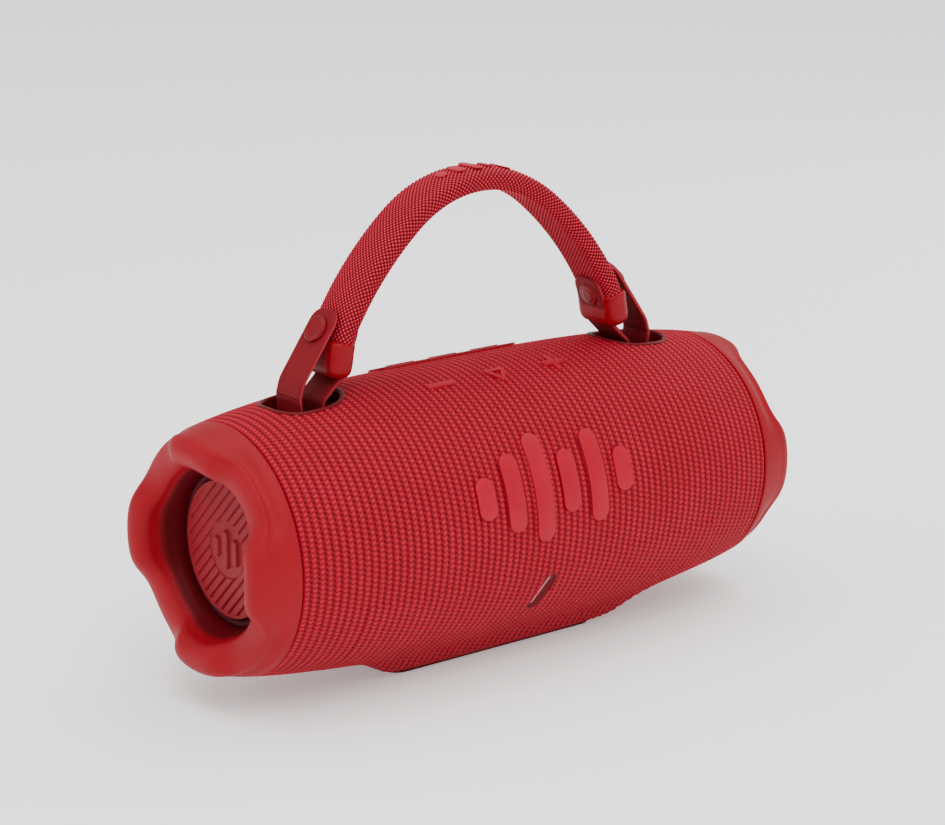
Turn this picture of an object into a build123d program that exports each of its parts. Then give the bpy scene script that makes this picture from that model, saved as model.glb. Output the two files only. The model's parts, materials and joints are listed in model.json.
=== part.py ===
from build123d import *
import os
from math import cos, radians, sin

# Portable speaker: a barrel wrapped in knitted fabric between two rubber end caps, on a flat foot,
# with a strap handle hooked on two bars. +X is the barrel's long axis, -Y the front, +Z up.
# Everything is modelled about the barrel's axis, and lifted onto the foot when it is saved.

# Barrel and foot
BARREL_RADIUS = 47.0
FOOT_DROP = 4.5          # how far the foot stands below the barrel
BODY_LENGTH = 228.8
CAP_LENGTH = 15.9
SEAM_X = BODY_LENGTH / 2 - CAP_LENGTH     # where the fabric meets an end cap
BARREL_DROP = 5.43       # how much smaller the barrel is at the seam
BARREL_POWER = 3.33
BARREL_STATIONS = 8
FABRIC = 1.6
SHELL = 2.2
AXIS_HEIGHT = BARREL_RADIUS + FOOT_DROP
SHELL_END = SEAM_X - 5.0
BASE_ROOT_Z = 11.0 - BARREL_RADIUS
BASE_ROOT = (132.0, 52.0)
BASE_FLAT = (96.0, 36.0)
BASE_CORNER = 10.0
FOOT_PAD = 1.2
FOOT_INSET = 4.0

# End caps and passive radiators
CAP_END = BODY_LENGTH / 2
ROLL = 5.5               # radius of the cap's rolled rim
ROLL_AT = BARREL_RADIUS - 13.1            # distance of the roll's centre from the axis
MOUTH = ROLL_AT - 5.9    # radius where the roll turns into the recess
THROAT = MOUTH - 2.0     # radius at the bottom of the recess
DENT_DEPTH = 6.0
DENT_WIDTH = 29.0
FRAME_WALL = 4.0
DISC_RADIUS = 22.6       # less than the throat, because the disc moves in it
DISC_FACE = SEAM_X + 0.5
DISC_THICK = 2.5
SURROUND_THICK = 1.2
RIB_PITCH = 3.1
RIB_HEIGHT = 0.6
MOTIF_HEIGHT = 1.3
MOTIF_PAD = 9.5
MOTIF_BARS = (7.0, 13.0, 9.0)
WEIGHT_RADIUS = 15.0
WEIGHT_THICK = 4.0

# Strap handle, in the plane y = 0
STRAP_WIDTH = 16.0
STRAP_THICK = 6.6
STRAP_CORNER = 2.2
STRAP_DOME = 30.0        # radius of the outer face across the strap
CORE = (10.0, 1.6)
STRAP_TOP = BARREL_RADIUS + 62.3          # height of the strap's middle line above the axis
ARCH = ((45.3, 38.8), (112.0, 21.2), (22.0, 20.0))   # radius and turn of each arc, from the top down
STRAP_TAIL = 7.0
FERRULE = (8.4, 17.6, 11.5)
FERRULE_SKIN = 2.6
FERRULE_ROUND = 2.4
BAR_X = 69.5
BAR_Z = BARREL_RADIUS - 9.0
BAR_RADIUS = 1.5
RIBBON = 1.8
RIBBON_WIDTH = 13.0
LOOP_RADIUS = 4.3
LOOP_HEAD = ((50.2, BARREL_RADIUS + 21.6), (56.6, BARREL_RADIUS + 5.4))
TAB_HINGE = (BAR_X + LOOP_RADIUS + 0.4, BARREL_RADIUS - 0.5)
HINGE_GAP = 0.08
TAB_ROUTE = ((73.0, BARREL_RADIUS + 4.0), (64.6, BARREL_RADIUS + 15.9), (57.8, BARREL_RADIUS + 25.6))
TAB_BENDS = (10.0, 30.0)
HEAD_CORNER = 5.0
SNAP_FROM_HEAD = 7.7
SNAP_RADIUS = 4.6
SNAP_HEIGHT = 1.3
SNAP_RIM = 1.0
SNAP_HOLLOW = 0.4
STUD_RADIUS = 1.5
STUD_LENGTH = 1.3
SOCKET_RADIUS = 3.2
SOCKET_GAP = 0.7
CLEAR = 0.3              # gap between bodies that move past each other

# Strap recess
CUP = (25.0, 21.0)
CUP_CORNER = 9.5
CUP_WALL = 1.4
CUP_FLOOR = BARREL_RADIUS - 17.0
CUP_RIM = 1.3
RIM_PROUD = 0.6

# Keys, control panel, emblem, light and port
KEY_ANGLE = 17.5         # forward of the top
KEY_PITCH = 24.0
KEY_PROUD = 0.7
KEY_STROKE = 2.4
KEY_SIZE = 9.0
KEY_UNDER = 1.5          # how far a key reaches below the shell
SWITCH_GAP = 0.8
SWITCH = (5.0, 3.0, 1.3)
BOARD = 1.2
PANEL_ANGLE = -19.0
PANEL = (60.0, 12.6)
PANEL_PROUD = 0.8
PANEL_KEY = (11.0, 5.2)
PANEL_PITCH = 18.0
EMBLEM_ANGLE = 72.5
EMBLEM_BARS = (14.0, 26.0, 36.0, 21.0, 31.0, 15.0)
EMBLEM_PITCH = 11.6
EMBLEM_STROKE = 7.0
EMBLEM_PROUD = 0.7
HANDLE_BARS = (5.0, 8.0, 11.0, 6.5, 9.0)
HANDLE_MARK_PITCH = 6.2
HANDLE_MARK_STROKE = 3.4
HANDLE_MARK_PROUD = 0.5
LIGHT_ANGLE = 121.0
LIGHT_X = -1.6
LIGHT = (14.0, 4.0)
LIGHT_TILT = 75.0
LIGHT_SUNK = 1.0
LENS_BEHIND = 0.5        # how far the lens reaches behind the shell
PORT_ANGLE = -112.0
PORT_X = 40.0
PORT = (8.9, 3.2)
PORT_LENGTH = 7.4
PORT_WALL = 0.3
PORT_BLADE = (6.6, 0.7)
PORT_BEZEL = (17.0, 9.0)

# Drivers, all set back from the front along the same tilted axis
DRIVER_ANGLE = 75.0
BAFFLE = (134.0, 60.0)
BAFFLE_FACE = BARREL_RADIUS - 16.0
BAFFLE_THICK = 2.0
WOOFER = (93.0, 53.0)
WOOFER_X = -14.0
FLANGE = 2.0
SURROUND_BORDER = 5.5
STRUT = 8.0
CONE_BORDER = 11.0
CONE_NECK = 13.0
CONE_DEPTH = 13.0
CONE_SKIN = 0.8
COIL = (12.7, 0.4)
COIL_LENGTH = 14.0
MAGNET_RADIUS = 22.0
MAGNET_FRONT = BAFFLE_FACE - 19.0
TOP_PLATE = 3.0
MAGNET = 11.0
GAP_RADIUS = 13.5
POLE_RADIUS = 12.0
TWEETER_X = 51.0
TWEETER_RADIUS = 14.5
DOME_RADIUS = 10.0
DOME_HEIGHT = 3.5
DOME_SKIN = 0.4
TWEETER_CUP = 12.0
GRILLE_SLOT = 2.6
GRILLE_PITCH = 5.2
GRILLE = (124.0, 44.0)

# Electronics
CELL_RADIUS = 10.6
CELL_LENGTH = 70.0
CELLS = ((29.5, 4.0), (24.5, -17.5))
CELL_X = -30.0
MAIN_BOARD = (100.0, 34.0)
MAIN_BOARD_Z = 13.0 - BARREL_RADIUS
MAIN_BOARD_Y = -2.0
TRAY = (12.0, 44.0)      # depth and height
TRAY_AT = (17.0, -7.0)
TRAY_END = 3.0
CHIPS = ((-34, 4, 14, 10, 3.0), (-12, -5, 8, 8, 1.6), (8, 4, 12, 12, 4.0), (28, -4, 10, 10, 2.2),
         (42, 6, 6, 12, 3.0))    # place in X and Y, width, depth and height
SCREW_RADIUS = 1.25
SCREW_HEAD = 2.3
FRAME_SCREWS = 4
FRAME_SCREW_AT = ROLL_AT - 0.4

BIG = 400.0


def barrel_radius(x):
    """Outer radius of the fabric, and of the caps that carry its line on, at a distance x from the middle."""
    return BARREL_RADIUS - BARREL_DROP * (abs(x) / SEAM_X) ** BARREL_POWER


def slab(low, high):
    """Everything between two planes across the barrel's axis."""
    return Pos((low + high) / 2, 0, 0) * Box(high - low, BIG, BIG)


def barrel(skin, low=-SEAM_X, high=SEAM_X):
    """The barrel less a skin, from one plane to another. All skins share one set of stations."""
    reach = CAP_END + 1
    stations = [reach * i / BARREL_STATIONS for i in range(-BARREL_STATIONS, BARREL_STATIONS + 1)]
    side = Spline(*[(x, 0, barrel_radius(x) - skin) for x in stations])
    foot = Polyline(side @ 1, (reach, 0, 0), (-reach, 0, 0), side @ 0)
    return revolve(make_face([side, foot]), Axis.X) & slab(low, high)


def radial(x, angle):
    """A plane through the axis at x that looks outwards, at an angle from the top towards the front."""
    return Plane((x, 0, 0), x_dir=(1, 0, 0), z_dir=(0, -sin(radians(angle)), cos(radians(angle))))


def prism(plane, outline, low, high):
    """An outline on a plane, pushed out from one distance to another."""
    return plane * (Pos(0, 0, low) * extrude(outline, high - low))


def ring(outer, inner, low, high):
    """A ring about the X axis between two planes."""
    turned = Plane((low, 0, 0), x_dir=(0, 1, 0), z_dir=(1, 0, 0))
    return turned * extrude(Circle(outer) - Circle(inner), high - low)


def disc(radius, low, high):
    turned = Plane((low, 0, 0), x_dir=(0, 1, 0), z_dir=(1, 0, 0))
    return turned * extrude(Circle(radius), high - low)


def other_side(shape):
    return mirror(shape, about=Plane.YZ)


def bars(heights, pitch, stroke):
    """Upright rounded bars in a row, the generic mark that this speaker carries."""
    first = -pitch * (len(heights) - 1) / 2
    return Sketch() + [Pos(first + i * pitch, 0) * SlotOverall(h, stroke, 90) for i, h in enumerate(heights)]


def screw(plane, length):
    """A pan-head screw whose head stands on the plane."""
    shank = Pos(0, 0, -length / 2) * Cylinder(SCREW_RADIUS, length)
    head = Pos(0, 0, 0.75) * Cylinder(SCREW_HEAD, 1.5)
    return plane * (shank + head)


def save(name, shape):
    export_step(Pos(0, 0, AXIS_HEIGHT) * shape, f"parts/{name}.step")


def save_pair(name, right):
    save("right_" + name, right)
    save("left_" + name, other_side(right))


os.makedirs("parts", exist_ok=True)
under_fabric = barrel(FABRIC)
inside = barrel(FABRIC + SHELL)


# Foot: a block under the barrel, covered by the same fabric, on a rubber pad
def base(skin):
    top = Pos(0, 0, BASE_ROOT_Z) * RectangleRounded(
        BASE_ROOT[0] - 2 * skin, BASE_ROOT[1] - 2 * skin, BASE_CORNER)
    bottom = Pos(0, 0, FOOT_PAD - AXIS_HEIGHT + skin) * RectangleRounded(
        BASE_FLAT[0] - 2 * skin, BASE_FLAT[1] - 2 * skin, BASE_CORNER)
    return loft([top, bottom])


pad_plan = offset(RectangleRounded(*BASE_FLAT, BASE_CORNER), -FOOT_INSET)
save("foot_pad", prism(Plane.XY, pad_plan, -AXIS_HEIGHT, FOOT_PAD - AXIS_HEIGHT))
save("base_block", base(FABRIC) - under_fabric)

# Strap recess: a cup sunk into the top at each end, with a rim on the fabric and a steel bar across it
cup_plan = Pos(BAR_X, 0) * RectangleRounded(*CUP, CUP_CORNER)
wall_plan = offset(cup_plan, CUP_WALL)
rim_plan = offset(cup_plan, CUP_WALL + CUP_RIM)
cup_hole = prism(Plane.XY, wall_plan, CUP_FLOOR - CUP_WALL, BARREL_RADIUS + 5)
rim = prism(Plane.XY, rim_plan, 0, BARREL_RADIUS + 5) & (barrel(-RIM_PROUD) - barrel(0))
cup = (cup_hole & barrel(-RIM_PROUD)) + rim
cup -= prism(Plane.XY, cup_plan, CUP_FLOOR, BARREL_RADIUS + 5)
strap_bar = Pos(BAR_X, 0, BAR_Z) * Rot(90, 0, 0) * Cylinder(BAR_RADIUS, CUP[1] + CUP_WALL)
save_pair("strap_cup", cup - strap_bar)
save("strap_bars", strap_bar + other_side(strap_bar))

# Keys on the front of the top: raised shapes that go down through the fabric and the shell
key_top = BARREL_RADIUS + KEY_PROUD + 1
key_bottom = BARREL_RADIUS - FABRIC - SHELL - KEY_UNDER
minus = SlotOverall(KEY_SIZE + 2, KEY_STROKE)
plus = SlotOverall(KEY_SIZE, KEY_STROKE) + SlotOverall(KEY_SIZE, KEY_STROKE, 90)
triangle = fillet(RegularPolygon(KEY_SIZE * 0.62, 3, rotation=-90).vertices(), 1.0)
key_outlines = {"volume_down_key": minus, "play_key": triangle, "volume_up_key": plus}
key_crown = barrel(-KEY_PROUD)
key_holes = []
for i, (name, outline) in enumerate(key_outlines.items()):
    plane = radial((i - 1) * KEY_PITCH, KEY_ANGLE)
    key = prism(plane, outline, key_bottom, key_top) & key_crown
    if name == "play_key":
        key -= prism(plane, offset(outline, -1.6), BARREL_RADIUS - 0.4, key_top)
    save(name, key)
    key_holes.append(prism(plane, offset(outline, CLEAR), key_bottom, key_top))

# Control panel behind the top: a rubber strip with three more keys
panel_plane = radial(0, PANEL_ANGLE)
panel_prism = prism(panel_plane, RectangleRounded(*PANEL, PANEL[1] / 2 - 0.1), key_bottom, key_top)
panel = panel_prism & (barrel(-PANEL_PROUD) - under_fabric)
panel_crown = barrel(-PANEL_PROUD - 0.3)
for i, name in enumerate(("power_key", "pairing_key", "link_key")):
    plane = radial((i - 1) * PANEL_PITCH, PANEL_ANGLE)
    save(name, prism(plane, SlotOverall(*PANEL_KEY), key_bottom, key_top) & panel_crown)
    hole = prism(plane, offset(SlotOverall(*PANEL_KEY), CLEAR), key_bottom, key_top)
    panel -= hole
    key_holes.append(hole)
save("control_panel", panel)

# Key boards under the shell, with a switch below each key
switch_top = key_bottom - SWITCH_GAP
boards, switches = [], []
for angle, pitch in ((KEY_ANGLE, KEY_PITCH), (PANEL_ANGLE, PANEL_PITCH)):
    board_face = switch_top - SWITCH[2]
    boards.append(prism(radial(0, angle), Rectangle(2 * pitch + 12, 10), board_face - BOARD, board_face))
    for i in (-1, 0, 1):
        switches.append(prism(radial(i * pitch, angle), Rectangle(*SWITCH[:2]), board_face, switch_top))

# Front emblem: a row of rounded bars that stands on the fabric
emblem = prism(radial(0, EMBLEM_ANGLE), bars(EMBLEM_BARS, EMBLEM_PITCH, EMBLEM_STROKE), 20, BARREL_RADIUS + 5)
save("front_emblem", emblem & (barrel(-EMBLEM_PROUD) - barrel(0)))

# Status light: a slanted slot with a clear lens at its bottom
light_plane = radial(LIGHT_X, LIGHT_ANGLE)
light_slot = SlotOverall(*LIGHT, LIGHT_TILT)
lens_back = BARREL_RADIUS - FABRIC - SHELL - LENS_BEHIND
light_hole = prism(light_plane, light_slot, lens_back, BARREL_RADIUS + 5)
light_room = prism(light_plane, offset(light_slot, LENS_BEHIND), lens_back - LENS_BEHIND, BARREL_RADIUS + 5)
save("status_light_lens", light_hole & barrel(LIGHT_SUNK))

# Charging port at the back: a metal socket in a rubber bezel, on a small board
port_plane = radial(PORT_X, PORT_ANGLE)
bezel_back = BARREL_RADIUS - FABRIC - SHELL - 3
port_bezel_hole = prism(port_plane, SlotOverall(*PORT_BEZEL), bezel_back, BARREL_RADIUS + 5)
port_mouth = barrel_radius(PORT_X) - 1.0
port_floor = port_mouth - PORT_LENGTH + 1
port_outer = prism(port_plane, SlotOverall(*PORT), port_mouth - PORT_LENGTH, port_mouth)
port_hollow = prism(port_plane, offset(SlotOverall(*PORT), -PORT_WALL), port_floor, port_mouth)
port_blade = prism(port_plane, Rectangle(*PORT_BLADE), port_floor, port_mouth - 1)
save("charging_port", port_outer - port_hollow + port_blade)
port_way = prism(port_plane, SlotOverall(*PORT), 0, BARREL_RADIUS + 5)
save("port_bezel", (port_bezel_hole & barrel(-0.4)) - port_way)
port_board_face = port_mouth - PORT_LENGTH
boards.append(prism(port_plane, Rectangle(20, 14), port_board_face - BOARD, port_board_face))

# Fabric: a knitted sleeve over the barrel and the foot, open at both ends and at each recess
fabric_sleeve = (barrel(0) + base(0)) - (under_fabric + base(FABRIC))
for hole in [cup_hole, other_side(cup_hole), panel_prism, light_hole, port_bezel_hole, *key_holes]:
    fabric_sleeve -= hole
save("fabric_sleeve", fabric_sleeve)

# Drivers: a baffle across the front, an oval woofer and a dome tweeter
woofer_plane = radial(WOOFER_X, DRIVER_ANGLE)
tweeter_plane = radial(TWEETER_X, DRIVER_ANGLE)
flange_face = BAFFLE_FACE + FLANGE
opening = SlotOverall(WOOFER[0] - 2 * SURROUND_BORDER, WOOFER[1] - 2 * SURROUND_BORDER)
cone_rim = SlotOverall(WOOFER[0] - 2 * CONE_BORDER, WOOFER[1] - 2 * CONE_BORDER)
screw_spots = [(WOOFER_X + along * (WOOFER[0] / 2 - 9), across * (WOOFER[1] / 2 - 4))
               for along in (-1, 1) for across in (-1, 1)]
screw_spots += [(TWEETER_X + side * (TWEETER_RADIUS - SCREW_HEAD - 0.3), 0) for side in (-1, 1)]
driver_front = radial(0, DRIVER_ANGLE)
driver_screws = Part() + [screw(driver_front * Pos(x, y, flange_face), 6) for x, y in screw_spots]
baffle = prism(driver_front, RectangleRounded(*BAFFLE, 8), BAFFLE_FACE - BAFFLE_THICK, BAFFLE_FACE) & inside
baffle -= prism(woofer_plane, opening, 0, BARREL_RADIUS)
baffle -= prism(tweeter_plane, Circle(TWEETER_RADIUS - 3.5), 0, BARREL_RADIUS)
save("driver_baffle", baffle - driver_screws - light_room)
save("driver_screws", driver_screws)

rear_ring = Circle(MAGNET_RADIUS) - Circle(CONE_NECK + 1.5)
basket = prism(woofer_plane, SlotOverall(*WOOFER) - opening, BAFFLE_FACE, flange_face)
basket += prism(woofer_plane, rear_ring, MAGNET_FRONT, MAGNET_FRONT + 2)
strut_x = WOOFER[0] / 2 - SURROUND_BORDER
strut_top = BAFFLE_FACE + (FLANGE - SURROUND_THICK) * 0.8
for side in (-1, 1):
    strut_points = [(MAGNET_RADIUS - 6, MAGNET_FRONT), (MAGNET_RADIUS - 1, MAGNET_FRONT),
                    (strut_x, BAFFLE_FACE - 3), (strut_x, BAFFLE_FACE), (strut_x + 1, BAFFLE_FACE),
                    (strut_x + 1, strut_top), (strut_x - 3, strut_top)]
    strut = Polyline(*[(side * x, 0, z) for x, z in strut_points], close=True)
    basket += woofer_plane * extrude(make_face(strut), STRUT / 2, both=True)
save("woofer_basket", basket - driver_screws - baffle - light_room)
surround_back = flange_face - SURROUND_THICK
save("woofer_surround", prism(woofer_plane, opening - offset(cone_rim, CLEAR), surround_back, flange_face))

cone_top = flange_face - 0.2
cone_bottom = cone_top - CONE_DEPTH


def cone(skin):
    rim = Pos(0, 0, cone_top) * offset(cone_rim, -skin)
    neck = Pos(0, 0, cone_bottom) * SlotOverall(2 * CONE_NECK + 0.1 - 2 * skin, 2 * CONE_NECK - 2 * skin)
    return loft([neck, rim])


dust_cap = Pos(0, 0, cone_bottom + 1) * extrude(Circle(CONE_NECK), CONE_SKIN)
former = extrude(Circle(COIL[0]) - Circle(COIL[0] - COIL[1]), COIL_LENGTH - 1)
former = Pos(0, 0, cone_bottom - COIL_LENGTH + 1) * former
save("woofer_cone", woofer_plane * (cone(0) - cone(CONE_SKIN) + dust_cap))
save("woofer_voice_coil", woofer_plane * former)

top_plate = extrude(Circle(MAGNET_RADIUS) - Circle(GAP_RADIUS), TOP_PLATE)
magnet_ring = extrude(Circle(MAGNET_RADIUS) - Circle(GAP_RADIUS + 1), MAGNET)
pole_length = MAGNET + TOP_PLATE
yoke = Pos(0, 0, -3) * extrude(Circle(MAGNET_RADIUS), 3) + extrude(Circle(POLE_RADIUS), pole_length)
magnet_back = MAGNET_FRONT - pole_length
save("woofer_magnet", woofer_plane * (Pos(0, 0, magnet_back) * magnet_ring))
save("woofer_top_plate", woofer_plane * (Pos(0, 0, MAGNET_FRONT - TOP_PLATE) * top_plate))
save("woofer_yoke", woofer_plane * (Pos(0, 0, magnet_back) * yoke))

tweeter_cup = Pos(0, 0, BAFFLE_FACE - TWEETER_CUP) * extrude(Circle(TWEETER_RADIUS - 3.6), TWEETER_CUP)
tweeter_flange = Pos(0, 0, BAFFLE_FACE) * extrude(Circle(TWEETER_RADIUS), FLANGE)
dome_seat = Pos(0, 0, BAFFLE_FACE - 1) * extrude(Circle(DOME_RADIUS + CLEAR), FLANGE + 1)
magnet_pocket = Pos(0, 0, BAFFLE_FACE - TWEETER_CUP + 1.5) * extrude(Circle(7), TWEETER_CUP)
tweeter = tweeter_plane * (tweeter_cup + tweeter_flange - dome_seat - magnet_pocket)
save("tweeter_housing", tweeter - driver_screws)
save("tweeter_magnet", tweeter_plane * (Pos(0, 0, BAFFLE_FACE - TWEETER_CUP + 1.5) * extrude(Circle(7), 7)))
dome_ball = (DOME_RADIUS ** 2 + DOME_HEIGHT ** 2) / (2 * DOME_HEIGHT)
dome_base = BAFFLE_FACE
dome_centre = Pos(0, 0, dome_base + DOME_HEIGHT - dome_ball)
dome = dome_centre * (Sphere(dome_ball) - Sphere(dome_ball - DOME_SKIN))
dome &= Pos(0, 0, dome_base + DOME_HEIGHT / 2) * Box(3 * DOME_RADIUS, 3 * DOME_RADIUS, DOME_HEIGHT)
save("tweeter_dome", tweeter_plane * dome)

# Shells: two halves that meet at y = 0, with a slotted grille in front of the drivers
shell = barrel(FABRIC, -SHELL_END, SHELL_END) - inside
grille_count = int(GRILLE[0] / GRILLE_PITCH)
for i in range(grille_count + 1):
    x = GRILLE_PITCH * (i - grille_count / 2)
    slot = SlotOverall(GRILLE[1], GRILLE_SLOT, 90)
    shell -= prism(radial(x, DRIVER_ANGLE), slot, flange_face, BARREL_RADIUS)
for hole in [cup_hole, other_side(cup_hole), light_hole, port_bezel_hole, *key_holes]:
    shell -= hole
half_space = Box(BIG, BIG, BIG, align=(Align.CENTER, Align.MAX, Align.CENTER))
save("enclosure_front_shell", shell & half_space)
save("enclosure_rear_shell", shell - half_space)

# End frames: a ring closes each end of the shells and holds the passive radiator
frame_face = SHELL_END + FRAME_WALL
bore = THROAT + 1.6
frame_screws = []
for i in range(FRAME_SCREWS):
    turn = Rot(45 + 360 * i / FRAME_SCREWS, 0, 0)
    spot = Plane((frame_face - 1.5, 0, FRAME_SCREW_AT), x_dir=(0, 1, 0), z_dir=(1, 0, 0))
    frame_screws.append(turn * screw(spot, FRAME_WALL + 3))
screw_set = Part() + frame_screws
bosses = [Rot(45 + 360 * i / FRAME_SCREWS, 0, 0) * Pos(SHELL_END - 4, 0, FRAME_SCREW_AT)
          * Rot(0, 90, 0) * Cylinder(3.2, 8) for i in range(FRAME_SCREWS)]
frame = (barrel(FABRIC, SHELL_END, frame_face) - disc(bore, 0, CAP_END)) + (Part() + bosses)
save_pair("radiator_frame", frame - screw_set)
save("frame_screws", screw_set + other_side(screw_set))
save_pair("radiator_surround", ring(bore, DISC_RADIUS + CLEAR, frame_face - SURROUND_THICK, frame_face))

diaphragm = disc(DISC_RADIUS, DISC_FACE - DISC_THICK, DISC_FACE)
rib_face = Plane((DISC_FACE, 0, 0), x_dir=(0, 1, 0), z_dir=(1, 0, 0))
rib_count = int(DISC_RADIUS / RIB_PITCH)
rib_rows = range(-rib_count, rib_count + 1)
ribs = Sketch() + [Pos(0, i * RIB_PITCH) * Rectangle(BIG, RIB_PITCH / 2) for i in rib_rows]
ribs = (Rot(0, 0, -45) * ribs) & Circle(DISC_RADIUS - 1.2)
ribs -= RectangleRounded(2 * MOTIF_PAD, 2 * MOTIF_PAD, 3)
diaphragm += rib_face * extrude(ribs, RIB_HEIGHT)
diaphragm += rib_face * extrude(bars(MOTIF_BARS, 4.6, 2.8), MOTIF_HEIGHT)
save_pair("radiator_diaphragm", diaphragm)
weight_face = DISC_FACE - DISC_THICK
save_pair("radiator_weight", disc(WEIGHT_RADIUS, weight_face - WEIGHT_THICK, weight_face))

# End caps: rubber, on the barrel's own line, rolled over at the rim and dented four times round
roll_x = CAP_END - ROLL
cap_body = barrel(0, SEAM_X, roll_x) + ring(barrel_radius(SEAM_X) - FABRIC, 1, frame_face, SEAM_X)
roll_profile = Plane.XZ * (Pos(roll_x, ROLL_AT) * Circle(ROLL))
cap = cap_body + revolve(roll_profile, Axis.X)
cap += ring(ROLL_AT, MOUTH, roll_x, CAP_END - 2.0)
funnel = Polyline((frame_face - 1, 0, 0), (frame_face - 1, 0, THROAT), (SEAM_X + 2, 0, THROAT),
                  (CAP_END - 3.5, 0, MOUTH), (CAP_END + 1, 0, MOUTH + 3), (CAP_END + 1, 0, 0), close=True)
cap -= revolve(make_face(funnel), Axis.X)
dent_radius = (DENT_WIDTH / 2) ** 2 / (2 * DENT_DEPTH) + DENT_DEPTH / 2
dent_cut = Pos(CAP_END - DENT_DEPTH + dent_radius, 0, 0) * Cylinder(dent_radius, BIG)
for turn in (45, 135):
    cap -= Rot(turn, 0, 0) * dent_cut
save_pair("end_cap", cap - screw_set)


# Handle: an arched strap, flat inside and domed outside, with a springy core and a rubber ferrule at each end
def arch_steps():
    """Start, middle and end of each arc on the arch's right half, from the top down, and the strap's end."""
    x, z, heading = 0.0, STRAP_TOP, 0.0
    steps = []
    for radius, turn in ARCH:
        centre = (x - radius * sin(radians(heading)), z - radius * cos(radians(heading)))
        angles = [radians(heading + share * turn) for share in (0.0, 0.5, 1.0)]
        steps.append([(centre[0] + radius * sin(a), 0, centre[1] + radius * cos(a)) for a in angles])
        heading += turn
        x, _, z = steps[-1][-1]
    tail = radians(heading)
    return steps, (x + STRAP_TAIL * cos(tail), 0, z - STRAP_TAIL * sin(tail)), heading


def along(path, section):
    """A section carried along a path in the plane y = 0, its width along Y and its top towards the outside."""
    start = Plane(path @ 0, x_dir=(0, 1, 0), z_dir=path % 0)
    return sweep(start * section, path=path)


def strap(skin):
    width, thick = STRAP_WIDTH + 2 * skin, STRAP_THICK + 2 * skin
    flat = RectangleRounded(width, thick, STRAP_CORNER)
    return along(arch, flat & Pos(0, STRAP_DOME - thick / 2) * Circle(STRAP_DOME))


def short_edges(ribbon):
    """The edges as long as the ribbon is thick, from the lowest to the highest."""
    return ribbon.edges().filter_by(lambda edge: abs(edge.length - RIBBON) < 0.01).sort_by(Axis.Z)


steps, strap_end, strap_heading = arch_steps()
right_half = [ThreePointArc(*step) for step in steps] + [Line(steps[-1][-1], strap_end)]
arch = Wire([*right_half, *[edge.mirror(Plane.YZ) for edge in right_half]])
handle_core = along(arch, RectangleRounded(*CORE, 0.7))
whole_strap = strap(0)
save("handle_core", handle_core)

# Ribbon loop: from its head inside the strap, down into the recess, under the bar and out to the tab's hinge
tail = radians(strap_heading)
side_in, side_out = BAR_X - LOOP_RADIUS, BAR_X + LOOP_RADIUS
loop_bottom = BAR_Z - LOOP_RADIUS
hinge_x, hinge_z = TAB_HINGE
loop_points = [*LOOP_HEAD, (side_in, BAR_Z + 6.2), (side_in, loop_bottom), (side_out, loop_bottom),
               (side_out, BAR_Z + 5.5), TAB_HINGE]
loop_path = FilletPolyline(*[(x, 0, z) for x, z in loop_points],
                           radius=[4, 3, LOOP_RADIUS - 0.05, LOOP_RADIUS - 0.05, 4])
hinge_axis = Pos(hinge_x, 0, hinge_z) * Rot(90, 0, 0)
strap_loop = along(loop_path, Rectangle(RIBBON_WIDTH, RIBBON))
strap_loop = fillet(short_edges(strap_loop)[-2:], HEAD_CORNER)
strap_loop -= hinge_axis * Cylinder(RIBBON / 2 + HINGE_GAP, BIG)
strap_loop -= Pos(hinge_x + BIG / 2, 0, hinge_z) * Box(BIG, BIG, RIBBON + 2 * CLEAR)
save_pair("strap_loop", strap_loop)

ferrule_length = FERRULE[2]
ferrule_place = Plane(strap_end, x_dir=(0, 1, 0), z_dir=(cos(tail), 0, -sin(tail)))
ferrule = Pos(0, 0, FERRULE_SKIN - ferrule_length / 2) * Box(FERRULE[1], FERRULE[0], ferrule_length)
ferrule = ferrule_place * fillet(ferrule.edges(), FERRULE_ROUND)
both_loops = strap_loop + other_side(strap_loop)
save_pair("ferrule", ferrule - whole_strap - strap_loop)
handle_strap = whole_strap - handle_core - both_loops

# Tab: the ribbon's outer end, from the hinge up to a round head that snaps onto the strap
tab_path = FilletPolyline(*[(x, 0, z) for x, z in (TAB_HINGE, *TAB_ROUTE)], radius=list(TAB_BENDS))
tab = along(tab_path, Rectangle(RIBBON_WIDTH, RIBBON))
tab = fillet(short_edges(tab)[-2:], HEAD_CORNER)
tab += hinge_axis * Cylinder(RIBBON / 2, RIBBON_WIDTH)
snap_spot, snap_way = tab_path @ 1, tab_path % 1
snap_spot = snap_spot - snap_way * SNAP_FROM_HEAD
snap_place = Plane(snap_spot, x_dir=(0, 1, 0), z_dir=(snap_way.Z, 0, -snap_way.X))
button = prism(snap_place, Circle(SNAP_RADIUS), RIBBON / 2, RIBBON / 2 + SNAP_HEIGHT)
button -= prism(snap_place, Circle(SNAP_RADIUS - SNAP_RIM), RIBBON / 2 + SNAP_HEIGHT - SNAP_HOLLOW, BIG)
button += prism(snap_place, Circle(STUD_RADIUS), -RIBBON / 2 - STUD_LENGTH, RIBBON / 2)
save_pair("strap_tab", tab - button)
save_pair("snap_button", button)
socket = prism(snap_place, Circle(SOCKET_RADIUS) - Circle(STUD_RADIUS + SOCKET_GAP), -5, -RIBBON / 2 - CLEAR)
save_pair("snap_socket", socket - whole_strap - ferrule)
eyelet = prism(snap_place, Circle(STUD_RADIUS + SOCKET_GAP), -5, 0)
handle_strap -= eyelet + other_side(eyelet)

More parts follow.
